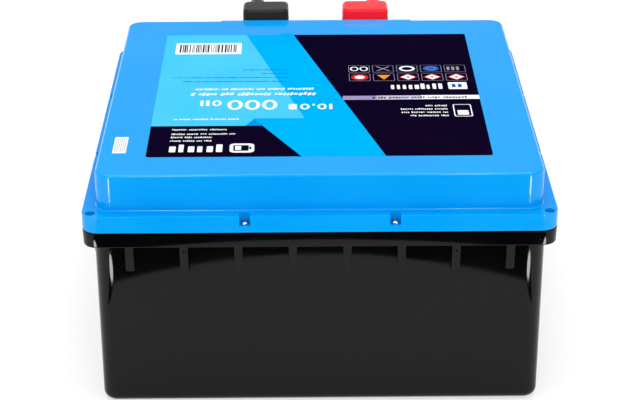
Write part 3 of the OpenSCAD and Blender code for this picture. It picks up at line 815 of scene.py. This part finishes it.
def greekLine(x0, x1, y, high, name, bold=1.0, slant=0.0):   # a line of stand-in lettering: blocks in words
    x = x1
    while x > x0 + high * 0.5:
        for _ in range(words.randint(3, 10)):
            wide = high * words.uniform(0.2, 0.46) * bold
            if x - wide < x0:
                break
            top = y + high * words.choice((0.5, 0.28, 0.28, 0.34))
            foot = y - high * words.choice((0.5, 0.5, 0.42, 0.3))
            mark(x - wide, x, foot, top, name, slant)
            x -= wide + high * 0.17
        x -= high * 0.42


def greekWord(x0, x1, y0, y1, name, count):   # one bold stand-in word of a given number of blocks
    step = (x1 - x0) / count
    for i in range(count):
        drop = (y1 - y0) * words.choice((0, 0.24, 0.24))
        mark(x0 + i * step, x0 + (i + words.uniform(0.5, 0.74)) * step, y0, y1 - drop, name, radius=0.9)


def printLabel():
    # bar strip on its own white patch
    mark(-122, -65, 85.6, 113.4, "white", radius=1.5)
    x = -118.5
    while x < -69:
        wide = words.choice((0.5, 0.5, 0.9, 1.4))
        mark(x, x + wide, 90, 109.5, "black", lift=0.04)
        x += wide + words.choice((0.6, 0.6, 1.1, 1.6))
    # four fine lines in the far part
    for x0, x1, y in ((-65, -22, 47.4), (-47, -22, 38.6), (-122, -22, 29.6), (-114, -22, 20.6)):
        greekLine(x0, x1 - 3, y, 2.4, "text")
        mark(x1 - 1.2, x1, y, y + 0.7, "text")
    greekLine(-103, -3.5, 3.2, 4.6, "white", 0.8, 0.2)
    greekLine(-105, -2, -7.9, 6.2, "white", 1.15, 0.25)
    # the big figures are plain rings and bars
    for x in (-66.8, -52.8, -38.9):
        ring(x, -31.6, 6.2, 10.4, 3.0, "white", 32)
    ring(-81.6, -27.6, 3.7, 6.2, 2.0, "white", 24)
    for x in (-95.0, -90.2):
        mark(x, x + 2.6, -33.6, -21.6, "white", radius=0.5)
    mark(-23.6, -17.0, -41.6, -30.4, "white", radius=1.6)
    ring(-10.6, -36.0, 3.9, 5.9, 2.0, "white", 24)
    mark(-4.4, -2.6, -34.0, -30.2, "white", radius=0.4)
    ring(3.2, -36.0, 3.7, 5.9, 1.9, "white", 24)
    mark(9.0, 11.4, -41.6, -30.4, "white", radius=0.4)
    greekLine(-115, -63, -61.5, 3.2, "white", 1.1)
    mark(-32, -21.3, 132, 138.2, "azure", radius=2.5)   # a nick of film that stands past the label's edge
    # dark foot
    for x0, x1, y, high in ((-115, -72, -82.8, 3.4), (-115, -65, -91.6, 3.2), (-115, -83, -98.2, 3.0),
                            (-115, -83, -105.2, 3.0)):
        greekLine(x0, x1, y, high, "white")
    greekWord(-114.5, -71.5, -127.0, -112.4, "white", 6)
    batteryMark(-59, -119.6)
    # stripe across the dark field
    left = navyEdge(-18.5)
    mark(left + 0.6, 48, -22.0, -13.4, "lilac")
    mark(48, 84, -21.8, -13.2, "paleLilac")
    mark(84, 131.4, -21.4, -12.8, "white")
    greekLine(42, 121, -17.4, 4.4, "navy", 1.1)
    pictures()
    # tag and its word
    mark(107.8, 123.4, 0.6, 15.8, "white", radius=1)
    for x in (112.4, 117.4):
        mark(x - 1.5, x + 1.5, 4.4, 12.0, "royal", lift=0.04, radius=0.6)
    greekWord(60.5, 104.6, 1.2, 13.2, "white", 9)
    # small screen outline with four lines beside it
    mark(108.2, 123.0, -58.8, -33.0, "white", radius=2)
    mark(109.2, 122.0, -57.8, -34.0, "navy", lift=0.04, radius=1.4)
    mark(111.2, 120.0, -55.6, -46.0, "white", lift=0.08, radius=0.8)
    for y, x0 in ((-35.5, 86), (-42.6, 66), (-49.4, 66), (-56.4, 72)):
        greekLine(x0, 103.6, y, 3.2, "white")


def batteryMark(x, y):        # a plain battery outline where a maker's sign would be
    mark(x - 9.4, x + 9.4, y - 8.8, y + 8.8, "white", radius=4)
    mark(x - 6.6, x + 5.2, y - 5.4, y + 5.4, "navy", lift=0.04, radius=1)
    mark(x + 5.6, x + 7.2, y - 2.4, y + 2.4, "navy", lift=0.04)
    mark(x - 5.2, x - 0.6, y - 3.8, y + 3.8, "white", lift=0.08)


def pictures():               # two rows of framed plain shapes
    for column in range(5):
        x = 35.4 + column * 20.2
        for y in (48.0, 28.2):
            mark(x - 8.9, x + 8.9, y - 8.2, y + 8.2, "grey", radius=1.2)
            mark(x - 8.5, x + 8.5, y - 7.8, y + 7.8, "navy", lift=0.04, radius=1.0)
    y = 48.0
    for x in (31.4, 39.4):
        ring(x, y, 3.6, 5.0, 1.3, "white", 24, lift=0.08)
    for slant in (-1, 1):
        mark(54.8, 56.4, y - 5.2, y + 5.2, "grey", slant, 0.08 + 0.02 * slant)
    ring(75.8, y, 6.8, 6.2, 2.4, "white", 28, lift=0.08)
    shape(96.0, y, 6.8, 6.2, 28, "royal", lift=0.08)
    ring(96.0, y, 4.4, 3.6, 0.8, "grey", 24, lift=0.12)
    for x in (110.6, 114.6, 118.6):
        mark(x - 1.2, x + 1.2, y - 4, y + 4, "grey", lift=0.08, radius=0.5)
    y = 28.2
    shape(35.4, y, 7.2, 6.8, 28, "red", lift=0.08)
    shape(35.4, y, 4.2, 3.6, 28, "white", lift=0.12)
    shape(55.6, y + 1.4, 6.2, 6.8, 3, "orange", lift=0.08, turn=180)
    for x in (75.8, 96.0, 116.2):
        shape(x, y, 7.6, 7.4, 4, "red", lift=0.08)
        shape(x, y, 6.0, 5.8, 4, "white", lift=0.12)
        shape(x, y, 1.4, 2.0, 12, "grey", lift=0.16)


printLabel()
bmesh.ops.recalc_face_normals(printBm, faces=printBm.faces[:])
finishPiece(asObject("labelPrint", printBm), [inks[n] for n in inkNames], "battery",
            weigh=False)


def makeSticker():            # the small serial sticker: white film with fine stand-in lines
    low, high = boxOf("serial_sticker")
    bm = bmesh.new()
    size, middle = high - low, (high + low) / 2
    filmTop = low.z + 0.16
    loft(bm, [(z, size.x, size.y, 0.8) for z in (low.z + 0.01, filmTop)], (middle.x, middle.y), 4)
    for row in range(6):
        x = low.x + 1.4 + row * 1.45
        y = low.y + 3
        while y < high.y - 4:
            run = words.uniform(0.8, 2.6)
            before = set(bm.faces)
            block(bm, (x, y, filmTop), (x + 0.5, min(y + run, high.y - 3), low.z + 0.2))
            for face in bm.faces:
                if face not in before:
                    face.material_index = 1
            y += run + 0.7
    finishPiece(asObject("serialSticker", bm), [inks["white"], inks["grey"]], "battery",
                ["serial_sticker"], weigh=False)


makeSticker()

# CAD pieces that keep their shape get their finish

finishes = {
    "lid_gasket": sealRubber, "lid_screws": zincSteel, "corner_screws": bareSteel,
    "positive_terminal": turnedBrass, "negative_terminal": turnedBrass,
    "terminal_washers": zincSteel, "terminal_spring_washers": bareSteel, "terminal_bolts": zincSteel,
    "positive_link": bareCopper, "negative_link": bareCopper, "link_screws": zincSteel,
    "base_pad": padFoam, "top_pad": padFoam,
    "cell_1": cellWrap, "cell_2": cellWrap, "cell_3": cellWrap, "cell_4": cellWrap,
    "cell_spacers": fishPaper, "end_plates": millAluminium, "cell_straps": bareSteel,
    "busbar_1": millAluminium, "busbar_2": millAluminium, "busbar_3": millAluminium,
    "busbar_nuts": zincSteel, "cable_lugs": bareCopper, "positive_cable": redSheath,
    "negative_cable": blackSheath, "output_cable": blackSheath, "bms_feet": blackResin,
    "bms_heatsink": millAluminium, "bms_spacers": turnedBrass, "bms_board": greenBoard,
    "bms_transistors": blackResin, "bms_cable_posts": turnedBrass, "bms_screws": zincSteel,
    "radio_module": blueBoard, "balance_connector": naturalNylon, "balance_harness": naturalNylon,
    "temperature_sensor": blackResin,
}
for name, material in finishes.items():
    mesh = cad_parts[name].data
    mesh.materials.clear()
    mesh.materials.append(material)
print("finishes on", len(finishes), "inner and small pieces")

# floor, light and surroundings

studio = {
    "floorHalf": 6.0,         # metres
    "floorTone": "#bcbcbc",
    "floorOther": "#c2c2c2",
    "floorGlow": 0.55,        # a table lit from below, so that it stays white close to the battery
    "disc": (0.372, 0.417),   # half sizes of the lit part of the table that the glossy tub mirrors
    "flagReach": 0.285,       # the dark cloth ends this far to each side
    "skyForEye": 1.05,
    "skyForLight": 0.58,
    "skyForShine": 0.38,
    "horizonForShine": 1.8,   # a lit backdrop low around the set
    "horizonTop": (0.16, 0.32),
    "horizonFront": (-0.4, 0.1),
}


def makeFloor():
    bm = bmesh.new()
    corners = bmesh.ops.create_circle(bm, segments=4, radius=studio["floorHalf"], cap_ends=True)["verts"]
    bmesh.ops.translate(bm, verts=corners, vec=(0, 0, -0.0003))
    floor = asObject("floor", bm)
    material, tree, shader, place = startMaterial("paleFloor")
    cloud = noise(tree, place, 400, 2)
    tone = tinted(tree, cloud, fromHex(studio["floorTone"]), fromHex(studio["floorOther"]))
    tree.links.new(tone, shader.inputs["Base Color"])
    shader.inputs["Emission Color"].default_value = (1, 1, 1, 1)
    shader.inputs["Emission Strength"].default_value = studio["floorGlow"]
    shader.inputs["Roughness"].default_value = 0.8
    shader.inputs["Specular IOR Level"].default_value = 0.1
    floor.data.materials.append(material)


def makeFlag():               # dark cloth before and behind the lit disc, which only reflections see
    bm = bmesh.new()
    inner = bmesh.ops.create_circle(bm, segments=96, radius=1, cap_ends=False)["verts"]
    bmesh.ops.scale(bm, verts=inner, vec=(*studio["disc"], 1))
    outer = bmesh.ops.create_circle(bm, segments=96, radius=studio["floorHalf"], cap_ends=False)["verts"]
    bmesh.ops.bridge_loops(bm, edges=list({e for v in inner + outer for e in v.link_edges}))
    for side in (-1, 1):      # open towards the two sides
        everything = bm.verts[:] + bm.edges[:] + bm.faces[:]
        bmesh.ops.bisect_plane(bm, geom=everything, plane_co=(side * studio["flagReach"], 0, 0),
                               plane_no=(side, 0, 0), clear_outer=True)
    flag = asObject("darkFlag", bm)
    flag.location.z = 0.002
    material, tree, shader, place = startMaterial("flagCloth")
    tree.links.new(tinted(tree, noise(tree, place, 30, 2), fromHex("#1a1a1a"), fromHex("#202020")),
                   shader.inputs["Base Color"])
    shader.inputs["Roughness"].default_value = 1
    shader.inputs["Specular IOR Level"].default_value = 0
    flag.data.materials.append(material)
    flag.visible_camera = False
    flag.visible_diffuse = False
    flag.visible_shadow = False


def makeSky():
    world = bpy.data.worlds.new("softRoom")
    scene.world = world
    world.use_nodes = True
    tree = world.node_tree
    tree.nodes.clear()
    path = addNode(tree, "ShaderNodeLightPath")
    forLight = addNode(tree, "ShaderNodeMath", {0: path.outputs["Is Camera Ray"],
                                                1: studio["skyForEye"] - studio["skyForLight"],
                                                2: studio["skyForLight"]}, operation="MULTIPLY_ADD")
    look = addNode(tree, "ShaderNodeTexCoord").outputs["Generated"]
    ways = addNode(tree, "ShaderNodeSeparateXYZ", {0: look}).outputs
    low = between(tree, ways["Z"], 1, 0, *studio["horizonTop"])
    behind = between(tree, ways["Y"], 0, 1, *studio["horizonFront"])
    both = addNode(tree, "ShaderNodeMath", {0: low, 1: behind}, operation="MULTIPLY")
    shine = addNode(tree, "ShaderNodeMapRange", {"Value": both.outputs[0], "To Min": studio["skyForShine"],
                                                 "To Max": studio["horizonForShine"]})
    strength = addNode(tree, "ShaderNodeMix", {0: path.outputs["Is Glossy Ray"], 2: forLight.outputs[0],
                                               3: shine.outputs[0]})
    sky = addNode(tree, "ShaderNodeBackground", {"Color": (1, 1, 1, 1), "Strength": strength.outputs[0]})
    out = addNode(tree, "ShaderNodeOutputWorld")
    tree.links.new(sky.outputs[0], out.inputs[0])


def softbox(name, place, aim, size, power, shineOnly=False):
    light = bpy.data.lights.new(name, "AREA")
    light.shape = "RECTANGLE"
    light.size, light.size_y = size
    light.energy = power
    box = bpy.data.objects.new(name, light)
    scene.collection.objects.link(box)
    box.location = place
    box.rotation_euler = (Vector(aim) - Vector(place)).to_track_quat("-Z", "Y").to_euler()
    box.visible_diffuse = not shineOnly
    return box


def tableStrip(place, size, power):   # a small light flat on the table, seen only as a glint
    x, y = place
    strip = softbox("tableStrip", (x, y, 0.006), (x, y, 1), size, power, True)
    strip.rotation_euler.z = 0
    return strip


makeFloor()
makeFlag()
makeSky()
# metres and watts
softbox("overhead", place=(0, 0.2, 2.2), aim=(0, 0, 0), size=(1.8, 1.8), power=28)
front = softbox("front", place=(0, -3.0, 2.2), aim=(0, 0, 0.1), size=(2.4, 1.2), power=26)
front.visible_glossy = False
for side in (-1, 1):
    strip = softbox("sideStrip", place=(side * 1.5, -1.2, 0.8), aim=(0, 0, 0.15), size=(0.35, 1.3), power=6)
    strip.visible_glossy = False
    tubGlint = tableStrip((side * 0.239, -0.372), size=(0.08, 0.05), power=0.25)
    tubGlint.data.shape = "ELLIPSE"
    tableStrip((side * 0.258, -0.567), size=(0.05, 0.07), power=0.4)   # glints on the crown's front corners
for x, wide, power in ((-0.2215, 0.127, 4.5), (0.275, 0.08, 3)):
    softbox("highGlint", place=(x, -1.3, 1.45), aim=(0, -0.17, 0.19), size=(wide, 0.5), power=power,
            shineOnly=True)
print("studio ready")
